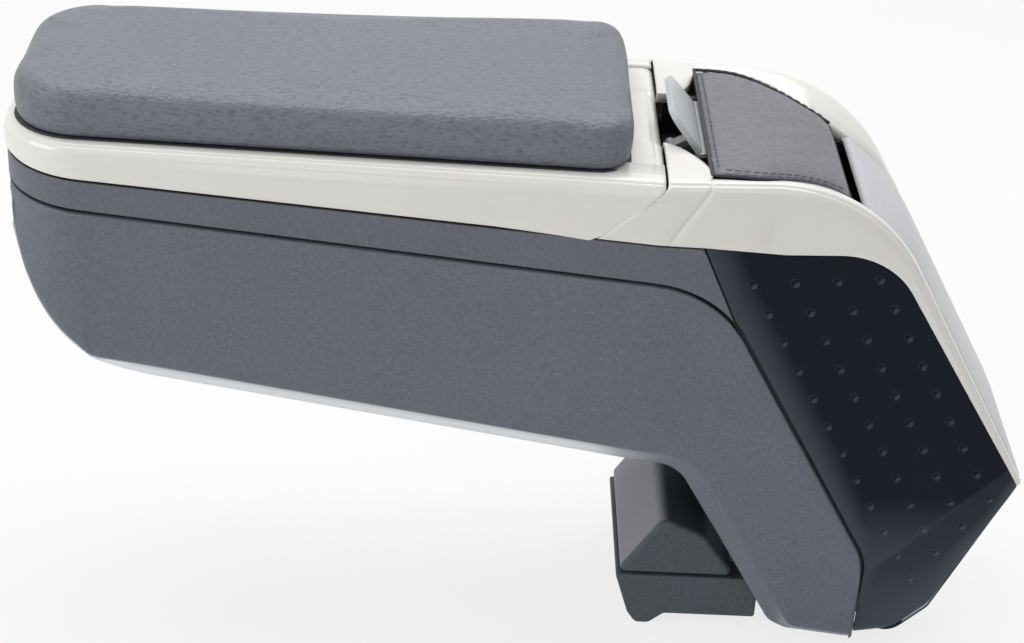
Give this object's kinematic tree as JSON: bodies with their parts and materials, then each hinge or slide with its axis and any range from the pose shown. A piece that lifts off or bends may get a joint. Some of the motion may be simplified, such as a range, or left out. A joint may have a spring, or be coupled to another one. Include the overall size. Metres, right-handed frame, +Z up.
{
  "type": "car centre armrest",
  "caption": "Car centre armrest with a leather padded storage lid on a leg that tilts on its foot, with a release lever and a rear pocket.",
  "frame": {"origin": "centre of the foot's mounting face, on the top of the console", "axes": "+X to the rear of the car along the arm, +Y to the right-hand side, +Z up"},
  "size_m": [0.3894, 0.116, 0.228],
  "materials": {
    "cream_plastic": "glossy painted plastic",
    "grey_plastic": "fine matte texture",
    "rim_plastic": "fine matte texture",
    "panel_plastic": "satin",
    "foot_plastic": "grained",
    "pad_leather": "soft grained leather",
    "knee_leather": "soft grained leather",
    "cover_plastic": "satin",
    "lever_plastic": "satin",
    "black_plastic": "matte",
    "pocket_lining": "thin moulded felt",
    "board": "hardboard",
    "zinc_steel": "zinc plated",
    "painted_steel": "black paint",
    "bronze": "sintered bronze",
    "brake_lining": "friction lining"
  },
  "bodies": {
    "foot": {"foot_lower_cover": "foot_plastic", "foot_upper_cover": "foot_plastic", "foot_bracket": "zinc_steel", "brake_drum": "zinc_steel", "pivot_pin": "zinc_steel", "pivot_circlip": "painted_steel"},
    "arm": {"outer_shell": "grey_plastic", "storage_tub": "rim_plastic", "left_side_panel": "panel_plastic", "right_side_panel": "panel_plastic", "rear_trim": "cream_plastic", "knee_board": "black_plastic", "knee_leather": "knee_leather", "rear_cover": "cover_plastic", "pocket_liner": "pocket_lining", "lever_housing": "black_plastic", "leg_frame": "painted_steel", "hub_bushes": "bronze", "lid_hinge_pins": "zinc_steel", "lid_catch": "black_plastic", "lever_pin": "zinc_steel", "shoe_pin": "zinc_steel"},
    "lid": {"lid_frame": "cream_plastic", "lid_liner": "black_plastic", "pad_board": "board", "lid_pad": "pad_leather", "lid_latch": "black_plastic"},
    "lever": {"lever_paddle": "lever_plastic"},
    "rod": {"push_rod": "zinc_steel"},
    "shoe": {"brake_shoe": "painted_steel", "shoe_lining": "brake_lining"}
  },
  "joints": [
    {"name": "arm_tilt", "type": "hinge", "parent": "foot", "child": "arm", "pos_m": [0.062, 0, 0.048], "axis": [0, 1, 0], "range_deg": [0, 65]},
    {"name": "lid_hinge", "type": "hinge", "parent": "arm", "child": "lid", "pos_m": [-0.0285, 0, 0.201], "axis": [0, 1, 0], "range_deg": [0, 60]},
    {"name": "lever_turn", "type": "hinge", "parent": "arm", "child": "lever", "pos_m": [-0.0095, 0, 0.198], "axis": [0, 1, 0], "range_deg": [-18, 0]},
    {"name": "rod_slide", "type": "slide", "parent": "arm", "child": "rod", "axis": [0.5, 0, -0.866], "range_m": [0, 0.0037], "stiffness_N_per_m": 300, "springref_m": -0.003},
    {"name": "shoe_turn", "type": "hinge", "parent": "arm", "child": "shoe", "pos_m": [0.05776, 0, 0.08135], "axis": [0, 1, 0], "range_deg": [0, 12]}
  ],
  "couplings": [
    {"joint": "lever_turn", "follows": "rod_slide", "rad_per_m": -84.7},
    {"joint": "shoe_turn", "follows": "rod_slide", "rad_per_m": 55}
  ]
}
